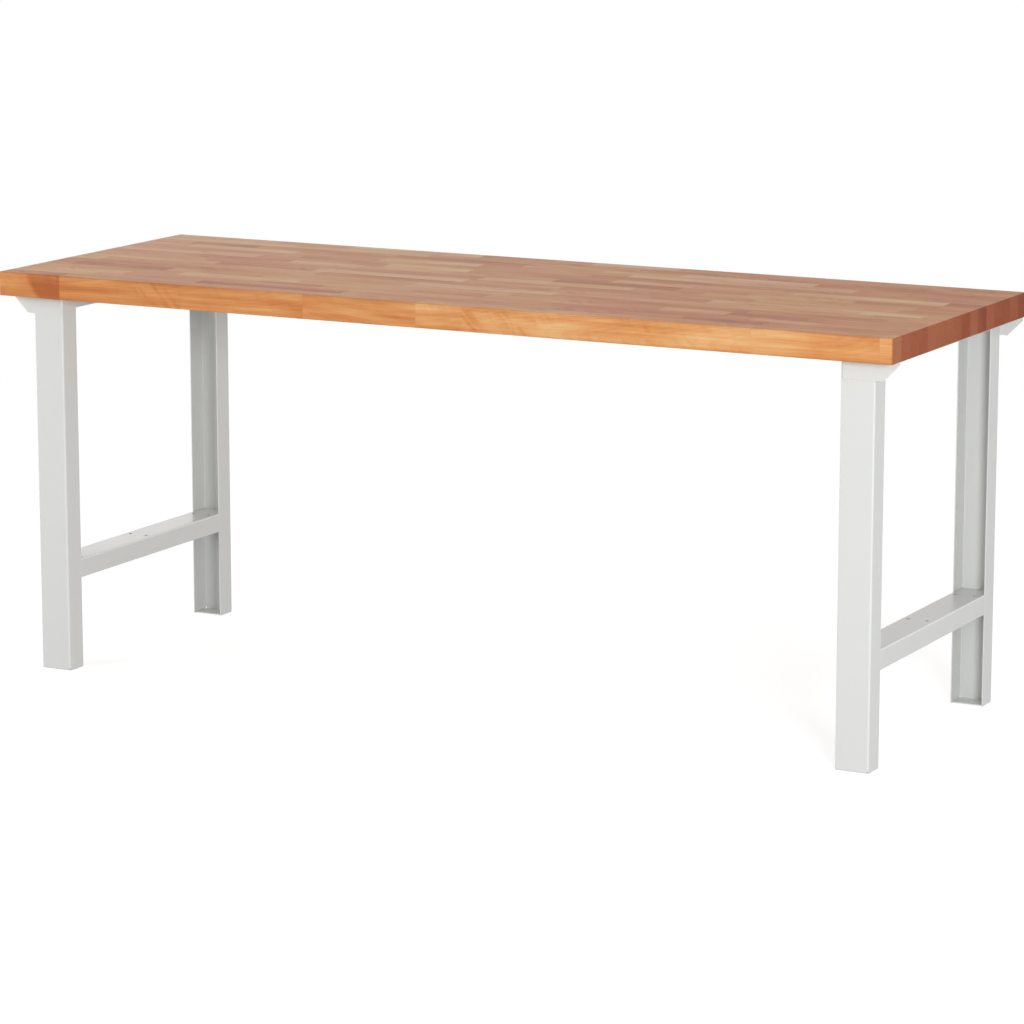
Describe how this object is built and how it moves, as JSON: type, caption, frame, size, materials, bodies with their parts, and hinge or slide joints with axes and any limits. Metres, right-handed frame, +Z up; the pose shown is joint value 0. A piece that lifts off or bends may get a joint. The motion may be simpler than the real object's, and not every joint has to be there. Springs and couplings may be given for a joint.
{
  "type": "workbench",
  "caption": "Free-standing workbench: thick stave-glued hardwood top on welded end frames of folded sheet-steel channel legs, with drilled lower rails and mitred top bearers.",
  "frame": {"origin": "on the floor, under the middle of the worktop", "axes": "+X along the bench, -Y to its front, +Z up"},
  "size_m": [2, 0.7, 0.85],
  "materials": {
    "worktop": "oiled, fine sanded",
    "frame": "light grey semi-gloss powder coat",
    "screws": "zinc plated"
  },
  "bodies": {
    "root": {"worktop": "worktop", "left_front_leg": "frame", "left_rear_leg": "frame", "left_lower_rail": "frame", "left_top_bearer": "frame", "right_front_leg": "frame", "right_rear_leg": "frame", "right_lower_rail": "frame", "right_top_bearer": "frame", "left_top_screw_1": "screws", "left_top_screw_2": "screws", "left_top_screw_3": "screws", "left_top_screw_4": "screws", "left_top_screw_5": "screws", "left_top_screw_6": "screws", "right_top_screw_1": "screws", "right_top_screw_2": "screws", "right_top_screw_3": "screws", "right_top_screw_4": "screws", "right_top_screw_5": "screws", "right_top_screw_6": "screws"}
  },
  "joints": []
}
